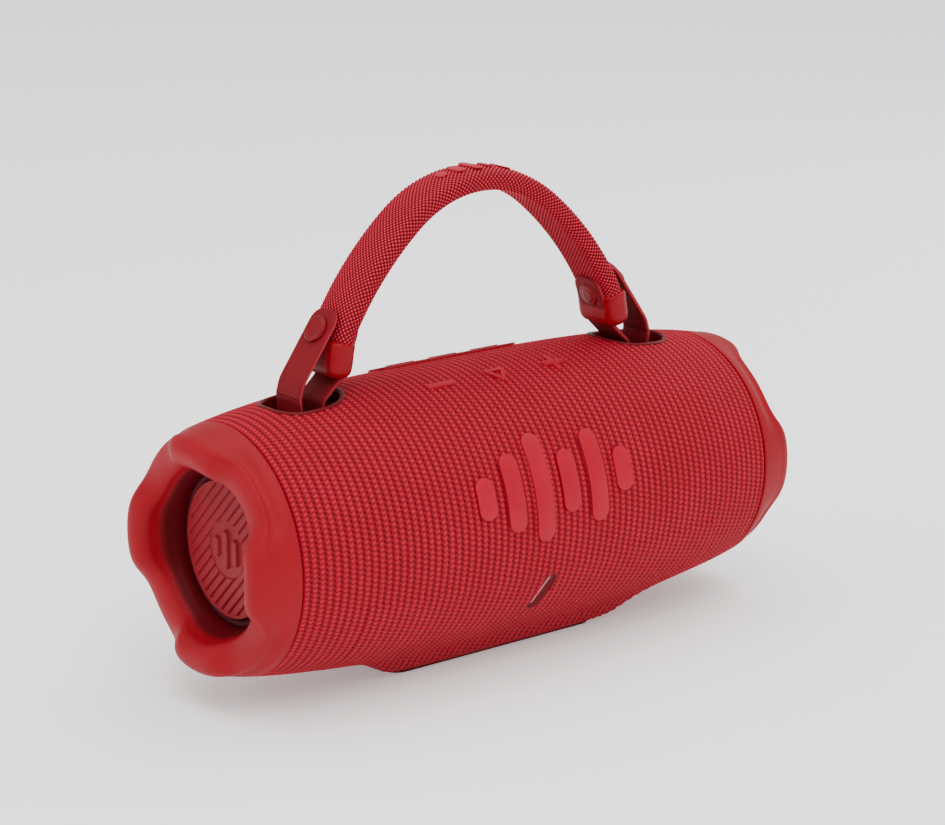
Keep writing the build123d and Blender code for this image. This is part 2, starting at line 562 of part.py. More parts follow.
# Handle mark: the same row of bars, small, on the top of the strap
mark_plan = bars(HANDLE_BARS, HANDLE_MARK_PITCH, HANDLE_MARK_STROKE)
mark = prism(Plane.XY, mark_plan, STRAP_TOP, STRAP_TOP + STRAP_THICK)
save("handle_emblem", mark & (strap(HANDLE_MARK_PROUD) - whole_strap))
save("handle_strap", handle_strap)

# Battery and circuit boards
cells = [Pos(CELL_X, y, z) * Rot(0, 90, 0) * Cylinder(CELL_RADIUS, CELL_LENGTH) for y, z in CELLS]
sleeve = Rot(0, 90, 0) * Cylinder(CELL_RADIUS + 0.1, CELL_LENGTH + 0.2)
sleeves = [Pos(CELL_X, y, z) * sleeve for y, z in CELLS]
save("battery_cells", Part() + cells)
tray_box = Pos(CELL_X, *TRAY_AT) * Box(CELL_LENGTH + 2 * TRAY_END, *TRAY)
save("battery_tray", (tray_box & inside) - (Part() + sleeves))
boards.append(Pos(0, MAIN_BOARD_Y, MAIN_BOARD_Z) * Box(*MAIN_BOARD, BOARD))
chip_face = MAIN_BOARD_Z + BOARD / 2
chips = [Pos(x, MAIN_BOARD_Y + y, chip_face + h / 2) * Box(w, d, h) for x, y, w, d, h in CHIPS]
save("circuit_boards", Part() + boards)
save("board_parts", Part() + switches + chips)
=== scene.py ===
import json
from math import atan2, ceil, cos, floor, hypot, pi, radians, sin, sqrt, tan, tanh

import bmesh
import bpy
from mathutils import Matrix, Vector


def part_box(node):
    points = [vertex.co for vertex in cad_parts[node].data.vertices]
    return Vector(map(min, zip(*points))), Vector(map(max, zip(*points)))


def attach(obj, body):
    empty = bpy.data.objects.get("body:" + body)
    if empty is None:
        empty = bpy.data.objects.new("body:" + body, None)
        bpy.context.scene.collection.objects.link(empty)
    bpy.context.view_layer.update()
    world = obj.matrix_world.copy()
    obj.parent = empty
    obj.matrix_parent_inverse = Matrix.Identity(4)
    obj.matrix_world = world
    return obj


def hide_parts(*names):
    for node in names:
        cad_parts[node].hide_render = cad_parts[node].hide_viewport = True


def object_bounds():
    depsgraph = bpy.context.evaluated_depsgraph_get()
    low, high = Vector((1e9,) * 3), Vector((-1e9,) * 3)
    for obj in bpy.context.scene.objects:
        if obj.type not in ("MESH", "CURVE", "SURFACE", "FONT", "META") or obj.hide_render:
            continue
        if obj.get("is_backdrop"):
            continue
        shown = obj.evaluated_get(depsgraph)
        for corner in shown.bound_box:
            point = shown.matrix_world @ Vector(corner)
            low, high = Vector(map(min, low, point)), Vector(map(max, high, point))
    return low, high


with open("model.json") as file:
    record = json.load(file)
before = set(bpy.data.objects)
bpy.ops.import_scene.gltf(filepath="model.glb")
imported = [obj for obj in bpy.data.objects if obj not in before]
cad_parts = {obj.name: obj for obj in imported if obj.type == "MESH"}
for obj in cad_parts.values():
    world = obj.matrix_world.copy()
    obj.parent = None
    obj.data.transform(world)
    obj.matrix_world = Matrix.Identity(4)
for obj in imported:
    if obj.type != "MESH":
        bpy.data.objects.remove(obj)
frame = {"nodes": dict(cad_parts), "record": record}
cad_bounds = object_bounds()
MM = 0.001


# Knitted sleeve. One tube of thick jersey, knitted in ribs that run round the barrel, is pulled over
# the shells and the foot and glued down. Its yarn is dyed red, with painted shade in the gaps between
# stitches.
sleeve_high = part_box("fabric_sleeve")[1]
barrel_radius = sleeve_high.y
axis_z = sleeve_high.z - barrel_radius
seam_x = sleeve_high.x
barrel_drop = 5.43 * MM
barrel_power = 3.33
rib_pitch = 2.65 * MM
stitch_pitch = 1.8 * MM
rib_count = round(2 * seam_x / rib_pitch)
stitch_count = 2 * round(pi * barrel_radius / stitch_pitch)
rib_height = 0.75 * MM
stitch_slant = 0.55
bridge_shift = 0.53
bridge_height = 0.34
cloth_line = -0.45 * MM
seam_tuck = (1.2 * MM, 1.0 * MM)


def barrel(x):
    """Radius of the barrel, and of the caps that carry its line on, at a distance x from the middle."""
    return barrel_radius - barrel_drop * (abs(x) / seam_x) ** barrel_power


def blunt_max(a, b, soft):
    """The larger of two, with the change from one to the other rounded over a distance."""
    return (a + b + sqrt((a - b) ** 2 + soft ** 2)) / 2


def blunt_min(a, b, soft):
    """The smaller of two, rounded in the same way."""
    return (a + b - sqrt((a - b) ** 2 + soft ** 2)) / 2


pad_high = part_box("foot_pad")[1]
pad_inset = 4 * MM
foot_depth = axis_z - pad_high.z
foot_half = Vector((pad_high.x + pad_inset, pad_high.y + pad_inset))
foot_root = Vector((66 * MM, 26 * MM))
foot_root_depth = 36 * MM
foot_reach = foot_root.x + 8 * MM
foot_sector = 0.3
foot_edge = 3 * MM
foot_fillet = 2.5 * MM


def foot(x, across, down):
    """Distance from the axis to the foot's skin in a direction, whose parts across and down are given."""
    rise = foot_depth - foot_root_depth
    run_y, run_x = foot_root.y - foot_half.y, foot_root.x - foot_half.x
    side = (rise * foot_half.y + run_y * foot_depth) / (rise * abs(across) + run_y * down)
    end = (rise * foot_half.x + run_x * foot_depth - rise * abs(x)) / (run_x * down)
    skin = blunt_min(foot_depth / down, side, foot_edge)
    return blunt_min(skin, end, foot_edge)


def skin_radius(x, turn):
    """Distance from the axis to the skin under the stitches. turn is 0 at the top and grows to the front."""
    down = -cos(turn)
    if down < foot_sector or abs(x) > foot_reach:
        return barrel(x)
    return blunt_max(barrel(x), foot(x, sin(turn), down), foot_fillet)


def rounded_box(x, y, half_x, half_y, corner):
    """Distance outside a rectangle with round corners, less than nothing inside it."""
    dx, dy = abs(x) - half_x + corner, abs(y) - half_y + corner
    return hypot(max(dx, 0), max(dy, 0)) + min(max(dx, dy), 0) - corner


def wrapped(across, along, place, closed=True):
    """A grid of faces bent by place(a, b), where a and b run from 0 to 1, with a map of a and b."""
    bm = bmesh.new()
    bm.loops.layers.uv.new("cloth")
    bmesh.ops.create_grid(bm, x_segments=across, y_segments=along, size=0.5, calc_uvs=True)
    for vert in bm.verts:
        vert.co = place(vert.co.x + 0.5, vert.co.y + 0.5)
    if closed:
        bmesh.ops.remove_doubles(bm, verts=bm.verts, dist=0.002 * MM)
    return bm


home = {node: body for body, nodes in frame["record"]["behaviour"]["bodies"].items() for node in nodes}
finish_of = {part["node"]: part["material_slot"] for part in frame["record"]["subparts"]}


def settle(name, bm, finish, node, turn_out=True, stands_for=True):
    """Makes a piece from a bmesh, on a CAD node's body and with a finish, in its place or beside it."""
    if turn_out:
        bmesh.ops.recalc_face_normals(bm, faces=bm.faces)
    for face in bm.faces:
        face.smooth = True
    mesh = bpy.data.meshes.new(name)
    bm.to_mesh(mesh)
    bm.free()
    mesh.materials.append(finish)
    piece = bpy.data.objects.new(name, mesh)
    bpy.context.scene.collection.objects.link(piece)
    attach(piece, home[node])
    if stands_for:
        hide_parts(node)
    return piece


class Shade:
    """A value, colour or vector in a material's nodes. Arithmetic on it adds Math nodes."""

    def __init__(self, tree, socket=None):
        self.tree = tree
        self.socket = socket

    def node(self, kind, settings, sockets, out=0):
        made = self.tree.nodes.new("ShaderNode" + kind)
        for name, value in settings.items():
            setattr(made, name, value)
        for name, value in sockets.items():
            if isinstance(value, Shade):
                self.tree.links.new(value.socket, made.inputs[name])
            else:
                made.inputs[name].default_value = value
        return Shade(self.tree, made.outputs[out])

    def math(self, operation, *values):
        return self.node("Math", {"operation": operation}, dict(enumerate(values)))

    def __add__(self, other):
        return self.math("ADD", self, other)

    def __sub__(self, other):
        return self.math("SUBTRACT", self, other)

    def __rsub__(self, other):
        return self.math("SUBTRACT", other, self)

    def __mul__(self, other):
        return self.math("MULTIPLY", self, other)

    __radd__ = __add__
    __rmul__ = __mul__

    def step(self, low, high):
        """Runs smoothly from 0 at low to 1 at high."""
        ends = {"Value": self, "From Min": low, "From Max": high}
        return self.node("MapRange", {"interpolation_type": "SMOOTHSTEP"}, ends)

    def mix(self, low, high):
        """A colour between two, with this as the share of the second."""
        return self.node("Mix", {"data_type": "RGBA"}, {0: self, 6: low, 7: high}, 2)

    def parts(self):
        return [self.node("SeparateXYZ", {}, {0: self}, out) for out in range(3)]

    def noise(self, per_metre, detail=2.0):
        return self.node("TexNoise", {}, {"Vector": self, "Scale": per_metre, "Detail": detail})

    def grid(self):
        """The two shares, from 0 to 1, that a wrapped piece's own map holds."""
        return self.node("UVMap", {"uv_map": "cloth"}, {}).parts()[:2]


def start_finish(name):
    """A new material, and its object coordinates."""
    finish = bpy.data.materials.new(name)
    finish.use_nodes = True
    return finish, Shade(finish.node_tree).node("TexCoord", {}, {}, 3)


def end_finish(finish, colour, rough, height=None, depth=0.0, **constants):
    """Drives a material's surface. height runs from 0 to 1 over the depth, and constants set sockets."""
    tree = finish.node_tree
    surface = next(node for node in tree.nodes if node.type == "BSDF_PRINCIPLED")
    driven = {"Base Color": colour, "Roughness": rough}
    if height is not None:
        driven["Normal"] = height.node("Bump", {}, {"Distance": depth, "Height": height})
    for name, value in driven.items():
        if isinstance(value, Shade):
            tree.links.new(value.socket, surface.inputs[name])
        else:
            surface.inputs[name].default_value = value
    for name, value in constants.items():
        surface.inputs[name.replace("_", " ")].default_value = value
    return finish


def wave(value):
    """A cosine with a period of 1, of a number or a shade."""
    return value.math("COSINE", value * (2 * pi)) if isinstance(value, Shade) else cos(2 * pi * value)


def whole(value):
    """The whole part of a number or a shade."""
    return value.math("FLOOR", value) if isinstance(value, Shade) else floor(value + 1e-6)


def stitches(ribs, loops):
    """Height of the knitting, from 0 to 1, from the count of ribs and of loops. Stitches slant and stand
    staggered, and thinner yarn bridges the gaps between ribs."""
    rib, gap = whole(ribs), whole(ribs + 0.5)
    u = ribs - rib
    crest = 0.5 - wave(u) * 0.5
    knot = wave(loops + rib * 0.5 + u * stitch_slant) * 0.5 + 0.5
    bridge = wave(loops + gap * 0.5 + bridge_shift) * 0.5 + 0.5
    return crest * (knot * 0.7 + 0.3) + (1 - crest) * bridge * bridge_height


def knit_finish():
    finish, place = start_finish("sleeve_knit")
    along, around = place.grid()
    ribs, loops = along * rib_count, around * stitch_count
    height = stitches(ribs, loops)
    ply = wave(ribs * 2.0 + loops * 4.0) * 0.5 + 0.5
    fuzz = place.noise(2600.0)
    worn = place.noise(60.0)
    crest = (height + fuzz * 0.18 + ply * 0.08).step(0.14, 0.88)
    light = worn.mix((0.42, 0.003, 0.019, 1), (0.52, 0.006, 0.031, 1))
    # Painted shade: the gaps between stitches take a much darker red than the yarn's crests.
    colour = crest.mix((0.10, 0.0004, 0.003, 1), light)
    relief = height * 0.9 + ply * 0.12 + fuzz * 0.15
    return end_finish(finish, colour, 0.58 + fuzz * 0.2, relief, 0.55 * MM, Specular_IOR_Level=0.12)


def sleeve_place(a, b):
    x = (2 * a - 1) * seam_x
    turn = 2 * pi * b
    lift = rib_height * stitches(a * rib_count, b * stitch_count) + cloth_line
    edge = max(0.0, 1 - (seam_x - abs(x)) / seam_tuck[0])
    radius = skin_radius(x, turn) + lift - seam_tuck[1] * edge * edge
    return Vector((x, -radius * sin(turn), axis_z + radius * cos(turn)))


sleeve = wrapped(4 * rib_count, 2 * stitch_count, sleeve_place)

# Openings in the sleeve, each a little smaller than the rim of what fills it
cup_low, cup_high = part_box("right_strap_cup")
cup_x = (cup_low.x + cup_high.x) / 2
cup_rim = Vector((cup_high.x - cup_x, cup_high.y))
cup_rim_corner = 12 * MM
under_cup_rim = 1.6 * MM
under_light_lip = 0.5 * MM
under_bezel = 1.0 * MM
light_low, light_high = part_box("status_light_lens")
light_turn = radians(121.0)
light_x = (light_low.x + light_high.x) / 2
light_half = (8.6 * MM, 2.9 * MM)
light_tilt = radians(75.0)
port_turn = radians(-112.0)
port_x = sum(corner.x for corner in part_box("port_bezel")) / 2
port_half = (8.5 * MM, 4.5 * MM)


def on_skin(place, x, turn):
    """Where a point lies on the skin about a spot: along the barrel, and up its curve."""
    up = barrel(x) * (turn - atan2(-place.y, place.z - axis_z))
    return place.x - x, up


def in_opening(place):
    if place.z > axis_z and abs(abs(place.x) - cup_x) < cup_rim.x and abs(place.y) < cup_rim.y:
        return rounded_box(abs(place.x) - cup_x, place.y, *cup_rim, cup_rim_corner) < -under_cup_rim
    along, up = on_skin(place, light_x, light_turn)
    if hypot(along, up) < light_half[0]:
        lengthways = along * cos(light_tilt) + up * sin(light_tilt)
        sideways = up * cos(light_tilt) - along * sin(light_tilt)
        return rounded_box(lengthways, sideways, *light_half, light_half[1]) < -under_light_lip
    along, up = on_skin(place, port_x, port_turn)
    return rounded_box(along, up, *port_half, port_half[1]) < -under_bezel


cut = [face for face in sleeve.faces if in_opening(face.calc_center_median())]
bmesh.ops.delete(sleeve, geom=cut, context="FACES")
sleeve_piece = settle("knitted_sleeve", sleeve, knit_finish(), "fabric_sleeve")


# End caps. Each is one thick moulding of soft-touch rubber that carries on the barrel's line, rolls over at
# the rim and runs in to the passive radiator. The rim steps back at four places round it.
cap_low, cap_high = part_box("right_end_cap")
cap_end = cap_high.x
roll = 5.5 * MM
roll_x = cap_end - roll
roll_at = 33.9 * MM
throat = 26.0 * MM
dent_depth = 6.0 * MM
dent_from = seam_x + 2.5 * MM
dent_slope = 1.15
dent_edge = 2.0
dent_waist = 0.9 * MM
back_x = cap_low.x
ends = ((-1, "left"), (1, "right"))


def arc(centre, radius, first, last, count):
    """Points on part of a circle, in degrees."""
    turns = [radians(first + (last - first) * i / count) for i in range(count + 1)]
    return [(centre[0] + radius * cos(t), centre[1] + radius * sin(t)) for t in turns]


class Line:
    """A line through points, read by the share of its length."""

    def __init__(self, points, closed=False):
        self.closed = closed
        self.points = [Vector(point) for point in points]
        self.reach = [0.0]
        for a, b in zip(self.points, self.points[1:]):
            self.reach.append(self.reach[-1] + (b - a).length)
        self.length = self.reach[-1]

    def at(self, share):
        share = share % 1.0 if self.closed else min(max(share, 0.0), 1.0)
        want = share * self.length
        i = 0
        while i < len(self.points) - 2 and self.reach[i + 1] < want:
            i += 1
        a, b = self.points[i], self.points[i + 1]
        return a.lerp(b, (want - self.reach[i]) / max(self.reach[i + 1] - self.reach[i], 1e-9))

    def heading(self, share):
        step = 0.4 * MM / self.length
        return (self.at(share + step) - self.at(share - step)).normalized()


def cap_profile():
    """The cap's section, as distance along the barrel and from its axis, once round."""
    past_seam = (0.9, 1.6, 2.6, 3.8, 5.0, 6.2, 7.4, 8.6, 9.6)
    under_skin = ((0.1, 1.4), (0.1, 0.55), (0.35, 0.12))
    outer = [(seam_x + x * MM, barrel(seam_x + x * MM)) for x in past_seam]
    lip = [(seam_x + x * MM, barrel(seam_x) - down * MM) for x, down in under_skin]
    rim = arc((roll_x, roll_at), roll, 84, -72, 30)
    wall = [(roll_x - 1.2 * MM, roll_at - roll - 0.35 * MM), (roll_x - 4 * MM, throat + 1.1 * MM),
            (seam_x + 2.4 * MM, throat + 0.2 * MM), (seam_x + 1.0 * MM, throat), (back_x, throat)]
    return [(back_x, throat), (back_x, barrel(seam_x) - 1.8 * MM), *lip, *outer, *rim, *wall]


profile = Line(cap_profile())
wall_share = 1 - (roll_x - back_x - 0.5 * MM) / profile.length


def dent(turn):
    """How far the rim is stepped back at a turn, from 0 on a lobe to 1 in a dent."""
    return 0.5 - 0.5 * tanh(dent_edge * cos(4 * turn)) / tanh(dent_edge)


def cap_place(side):
    def place(a, b):
        x, radius = profile.at(b)
        turn = 2 * pi * a
        if x > dent_from:
            share = (x - dent_from) / (cap_end - dent_from)
            x -= dent_depth * dent(turn) * share ** dent_slope
            outside = min(max((radius - roll_at) / roll, 0.0), 1.0)
            radius -= dent_waist * dent(turn) * outside ** 2 * sin(pi * min(share * 1.25, 1.0)) ** 2
        return Vector((side * x, -radius * sin(turn), axis_z + radius * cos(turn)))
    return place


def rubber_finish(name, colour, pale, grain=0.03, rough=0.42, recess_shade=None):
    """Soft-touch rubber: a fine moulded grain and a paler bloom in patches. A darker colour, where given, is
    painted shade on a cap's recess wall.
    """
    finish, place = start_finish(name)
    speck = place.noise(2200.0, 3.0)
    bloom = place.noise(45.0, 3.0)
    mixed = bloom.step(0.35, 0.75).mix(colour, pale)
    if recess_shade:
        # Painted shade: past wall_share the cap's wall is darkened, where shade falls deep in its recess.
        mixed = place.grid()[1].step(wall_share, wall_share + 0.06).mix(mixed, recess_shade)
    return end_finish(finish, mixed, rough + speck * 0.12, speck + place.noise(300.0) * 0.6, grain * MM,
                      Specular_IOR_Level=0.12)


# The last colour is painted shade for the wall in each cap's recess.
rubber = rubber_finish("cap_rubber", (0.235, 0.0013, 0.0075, 1), (0.265, 0.0025, 0.010, 1), rough=0.46,
                       recess_shade=(0.085, 0.0006, 0.0035, 1))
for side, word in ends:
    settle(word + "_rubber_cap", wrapped(320, 140, cap_place(side)), rubber, word + "_end_cap")


# Passive radiators. A stiff rubber-faced disc sits in each cap's throat. Its face is moulded with slanted
# grooves and a raised mark of three bars, and a dark half-round surround joins it to the frame.
disc_low, disc_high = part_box("right_radiator_diaphragm")
disc_radius = disc_high.y
disc_back = disc_low.x
disc_face = seam_x + 0.6 * MM
groove_pitch = 3.1 * MM
groove_half = 0.55 * MM
mark_bars = ((-5.2 * MM, 3.4 * MM), (0.0, 6.4 * MM), (5.2 * MM, 4.4 * MM))
mark_stroke = 1.5 * MM
mark_height = 1.2 * MM
mark_pad = 9.5 * MM
pad_level = -0.1 * MM
rib_level = 0.35 * MM
groove_depth = 0.85 * MM
rim_width = 1.0 * MM
face_share = 0.93
last_line = 0.9998


def disc_height(y, z, across):
    """Height of the disc's face. across is the distance from the middle groove."""
    if hypot(y, z) < mark_pad:
        mark = min(rounded_box(y - at, z, mark_stroke, half, mark_stroke) for at, half in mark_bars)
        raised = min(max(0.5 - mark / (0.4 * MM), 0.0), 1.0)
        return mark_height * raised * raised * (3 - 2 * raised) + pad_level
    if hypot(y, z) > disc_radius - rim_width:
        return rib_level
    near = abs((across / groove_pitch + 0.5) % 1 - 0.5) * groove_pitch
    depth = min(max(1 - near / groove_half, 0.0), 1.0)
    return rib_level - groove_depth * depth


def disc_place(side):
    """The face, ruled along its grooves, and past face_share of each line the side that falls to the back."""
    def place(a, b):
        across = (2 * a - 1) * disc_radius * last_line
        chord = sqrt(disc_radius ** 2 - across ** 2)
        share = (2 * b - 1) / face_share
        run = max(-1.0, min(1.0, share)) * chord
        y, z = (across + run) / sqrt(2), (run - across) / sqrt(2)
        x = disc_face + disc_height(y, z, across)
        fall = (abs(share) - 1) / (1 / face_share - 1)
        if fall > 0:
            x = disc_face - (disc_face - disc_back) * fall
        return Vector((side * x, side * y, axis_z + z))
    return place


disc_rubber = rubber_finish("disc_rubber", (0.20, 0.008, 0.014, 1), (0.23, 0.012, 0.019, 1), 0.02, 0.40)
dark_rubber = rubber_finish("surround_rubber", (0.05, 0.002, 0.005, 1), (0.07, 0.003, 0.007, 1), 0.02, 0.5)
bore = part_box("right_radiator_surround")[1].y
lip_radius = disc_radius + 0.35 * MM
lip_back = -1.4 * MM
roll_section = Line([(lip_back, lip_radius), (0, lip_radius)]
                    + [(0.9 * MM * sin(pi * i / 12), disc_radius + (0.5 + 3.1 * i / 12) * MM)
                       for i in range(13)]
                    + [(0, bore), (lip_back, bore), (lip_back, lip_radius)])


def surround_place(side):
    def place(a, b):
        x, radius = roll_section.at(b)
        turn = 2 * pi * a
        return Vector((side * (back_x + x), radius * sin(turn), axis_z + radius * cos(turn)))
    return place


for side, word in ends:
    disc = wrapped(292, 240, disc_place(side), closed=False)
    bmesh.ops.remove_doubles(disc, verts=disc.verts, dist=0.01 * MM)
    settle(word + "_radiator_disc", disc, disc_rubber, word + "_radiator_diaphragm")
    half_roll = wrapped(160, 40, surround_place(side))
    settle(word + "_half_roll", half_roll, dark_rubber, word + "_radiator_surround")


# Strap cups. A moulded cup is sunk into the top at each end of the strap, and its thin rim lies on the
# sleeve's edge. Its floor is rounded up into the wall, and a steel bar crosses it.
cup_half = cup_rim - Vector((2.7 * MM, 2.7 * MM))
cup_corner = 9.5 * MM
cup_floor = axis_z + 30.0 * MM
rim_reach = 12.5 * MM
wall_steps = 8
# Each point is a share of the opening and a level. Levels down to -1 are millimetres from the sleeve's line,
# and the eight below are steps down the wall to the floor.
cup_section = Line([(0.0, -9.0), (0.55, -8.6), (0.8, -7.0), (0.97, -5.0), (1.0, -3.0), (1.0, -1.0),
                    (1.0, -0.25), (1.01, 0.0), (1.025, 0.3), (1.05, 0.48), (1.085, 0.5), (1.115, 0.38),
                    (1.13, 0.1), (1.13, -0.8), (1.05, -1.0)])


def edge_along(ray, half_x, half_y, corner):
    """Distance along a ray from the middle of a round-cornered rectangle to its edge."""
    low, high = 0.0, hypot(half_x, half_y)
    for _ in range(24):
        middle = (low + high) / 2
        if rounded_box(ray.x * middle, ray.y * middle, half_x, half_y, corner) > 0:
            high = middle
        else:
            low = middle
    return low


def cup_place(side):
    def place(a, b):
        turn = 2 * pi * a
        size, level = cup_section.at(b)
        ray = Vector((cos(turn), sin(turn)))
        edge = edge_along(ray, *cup_half, cup_corner)
        reach = edge * min(size, 1.0) + max(size - 1.0, 0.0) * rim_reach
        x, y = cup_x + ray.x * reach, ray.y * reach
        surface = axis_z + sqrt(barrel(x) ** 2 - y ** 2)
        if level > -1.01:
            z = surface + level * MM
        else:
            z = cup_floor + (surface - MM - cup_floor) * (level + 1 + wall_steps) / wall_steps
        return Vector((side * x, y, z))
    return place


cup_plastic = rubber_finish("cup_plastic", (0.10, 0.001, 0.004, 1), (0.12, 0.002, 0.005, 1), 0.02, 0.38)
for side, word in ends:
    settle(word + "_strap_well", wrapped(144, 60, cup_place(side)), cup_plastic, word + "_strap_cup")


# Strap. A flat webbing sleeve over a springy core, bent into an arch. It is woven from thick yarn whose knots
# stand up in staggered rows, finer and flatter on the inner face.
strap_thick = 6.6 * MM
strap_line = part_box("handle_strap")[1].z - strap_thick / 2
knot_pitch = 1.6 * MM
knot_height = 0.30 * MM
inner_flat = 0.45
inner_from = 1.5 * MM
arch = ((45.3 * MM, 38.8), (112.0 * MM, 21.2), (22.0 * MM, 20.0))
strap_tail = 7.0 * MM


def arch_points():
    """The arch's middle line in x and z, from its top to the strap's right end."""
    x, z, heading = 0.0, strap_line, 0.0
    points = [(x, z)]
    for radius, bend in arch:
        centre = (x - radius * sin(radians(heading)), z - radius * cos(radians(heading)))
        points += arc(centre, radius, 90 - heading, 90 - heading - bend, 40)[1:]
        heading += bend
        x, z = points[-1]
    tail = Vector((cos(radians(heading)), -sin(radians(heading))))
    return points + [tuple(Vector((x, z)) + tail * strap_tail)], tail


half_arch, tail_way = arch_points()
strap_middle = Line([(-x, z) for x, z in reversed(half_arch)] + half_arch[1:])
strap_end = Vector(half_arch[-1])


def webbing_section():
    """The strap's section: domed outside, flat inside, with round edges."""
    dome = 30.0 * MM
    top = [(y * MM, strap_thick / 2 - dome + sqrt(dome ** 2 - (y * MM) ** 2)) for y in range(8)]
    edge = ((8.1, 2.1), (8.75, 1.4), (9.1, 0.2), (9.05, -1.5), (8.5, -2.9), (7.5, -3.7), (6.4, -3.9))
    right = top + [(y * MM, z * MM) for y, z in edge]
    left = [(-y, z) for y, z in reversed(right)]
    return Line(right + left, closed=True)


strap_section = webbing_section()
knots_round = 2 * round(strap_section.length / knot_pitch / 2)
knots_along = 2 * round(strap_middle.length / knot_pitch / 2)


def strap_place(a, b):
    y, out = strap_section.at(a)
    facing = strap_section.heading(a)
    normal = Vector((-facing.y, facing.x))
    knot = cos(pi * a * 2 * knots_round) * cos(pi * b * 2 * knots_along)
    inner = min(max(-out / inner_from - 1, 0.0), 1.0)
    lift = knot_height * (1 - inner_flat * inner) * knot
    middle, way = strap_middle.at(b), strap_middle.heading(b)
    outward = Vector((-way.y, way.x))
    y += normal.x * lift
    out += normal.y * lift
    spot = middle + outward * out
    return Vector((spot.x, y, spot.y))


def webbing_finish():
    finish, place = start_finish("strap_webbing")
    a, b = place.grid()
    knot = wave(a * knots_round) * wave(b * knots_along)
    fuzz = place.noise(3000.0)
    ply = wave(a * (4.0 * knots_round) + b * (2.0 * knots_along)) * 0.5 + 0.5
    crest = (knot + fuzz * 0.4).step(0.05, 1.1)
    # Painted highlight and painted shade: the tops of the knots take a very light red, and the low places
    # between them a very dark one.
    colour = crest.mix((0.12, 0.0006, 0.004, 1), (0.72, 0.020, 0.058, 1))
    relief = knot * 0.3 + ply * 0.2 + fuzz * 0.4
    return end_finish(finish, colour, 0.6 + fuzz * 0.2, relief, 0.25 * MM, Specular_IOR_Level=0.12)


def shut(bm):
    """Closes the open ends of a piece."""
    bmesh.ops.holes_fill(bm, edges=[edge for edge in bm.edges if edge.is_boundary])
    return bm


strap = shut(wrapped(4 * knots_round, 4 * knots_along, strap_place))
settle("webbing_strap", strap, webbing_finish(), "handle_strap")


# Ferrules. A rubber thimble is moulded over each cut end of the strap. Its mouth has a thin lip and its
# lower end is rounded shut.
ferrule_skin = 2.6 * MM
ferrule_size = (19.4 * MM, 9.2 * MM, 11.5 * MM)
ferrule_corner = 3.6 * MM
roundest = 0.98
ferrule_section = Line([(-0.9, -0.3), (-0.25, 0.0), (0.05, 0.35), (0.12, 0.9), (0.02, 1.5), (0.0, 3.0),
                        (0.05, 6.0), (0.0, 8.3), (-0.25, 9.6), (-0.9, 10.7), (-1.9, 11.4), (-3.0, 11.5),
                        (-4.2, 11.5)])


def ferrule_place(side):
    def place(a, b):
        inset, down = ferrule_section.at(b)
        turn = 2 * pi * a
        half = (ferrule_size[0] / 2 + inset * MM, ferrule_size[1] / 2 + inset * MM)
        corner = min(ferrule_corner + inset * MM / 2, half[0] * roundest, half[1] * roundest)
        ray = Vector((cos(turn), sin(turn)))
        across, out = ray * edge_along(ray, *half, corner)
        spot = strap_end + tail_way * (ferrule_skin - ferrule_size[2] + down * MM)
        spot = spot + Vector((-tail_way.y, tail_way.x)) * out
        return Vector((side * spot.x, across, spot.y))
    return place


thimble_rubber = rubber_finish("thimble_rubber", (0.22, 0.0012, 0.0065, 1), (0.25, 0.002, 0.009, 1),
                               0.015, 0.30)
for side, word in ends:
    thimble = shut(wrapped(128, 60, ferrule_place(side)))
    settle(word + "_thimble", thimble, thimble_rubber, word + "_ferrule")


# Ribbons. A coated webbing ribbon starts inside the strap's end, goes down into the cup, under the bar and
# up outside, where its end is a tab that snaps onto the strap. Its cut edges are paler than its faces.
ribbon = 1.8 * MM
ribbon_half = 6.5 * MM
head_corner = 5.0 * MM
edge_round = 0.55 * MM
edge_thin = 0.55
loop_radius = 4.3 * MM
bar_z = sum(corner.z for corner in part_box("strap_bars")) / 2
hinge = Vector((cup_x + loop_radius + 0.4 * MM, axis_z + 46.5 * MM))
loop_route = [(50.2 * MM, axis_z + 68.6 * MM), (56.6 * MM, axis_z + 52.4 * MM),
              (cup_x - loop_radius, bar_z + 6.2 * MM), (cup_x - loop_radius, bar_z - loop_radius),
              (cup_x + loop_radius, bar_z - loop_radius), (cup_x + loop_radius, bar_z + 5.5 * MM),
              tuple(hinge)]
loop_bends = [4 * MM, 3 * MM, loop_radius - 0.05 * MM, loop_radius - 0.05 * MM, 4 * MM]
tab_route = [tuple(hinge), (73.0 * MM, axis_z + 51.0 * MM), (64.6 * MM, axis_z + 62.9 * MM),
             (57.8 * MM, axis_z + 72.6 * MM)]
tab_bends = [10 * MM, 30 * MM]


def rounded_route(corners, bends):
    """Points along a route whose inner corners are rounded by arcs."""
    corners = [Vector(corner) for corner in corners]
    points = [corners[0]]
    for before, corner, after, bend in zip(corners, corners[1:], corners[2:], bends):
        into, away = (corner - before).normalized(), (after - corner).normalized()
        turn = into.angle_signed(away)
        reach = bend * tan(abs(turn) / 2)
        side = Vector((-into.y, into.x)) * (1 if turn < 0 else -1)
        centre = corner - into * reach + side * bend
        count = max(4, ceil(abs(turn) / radians(8)))
        for i in range(count + 1):
            c, s = cos(turn * i / count), -sin(turn * i / count)
            points.append(centre - Vector((side.x * c - side.y * s, side.x * s + side.y * c)) * bend)
    return points + [corners[-1]]


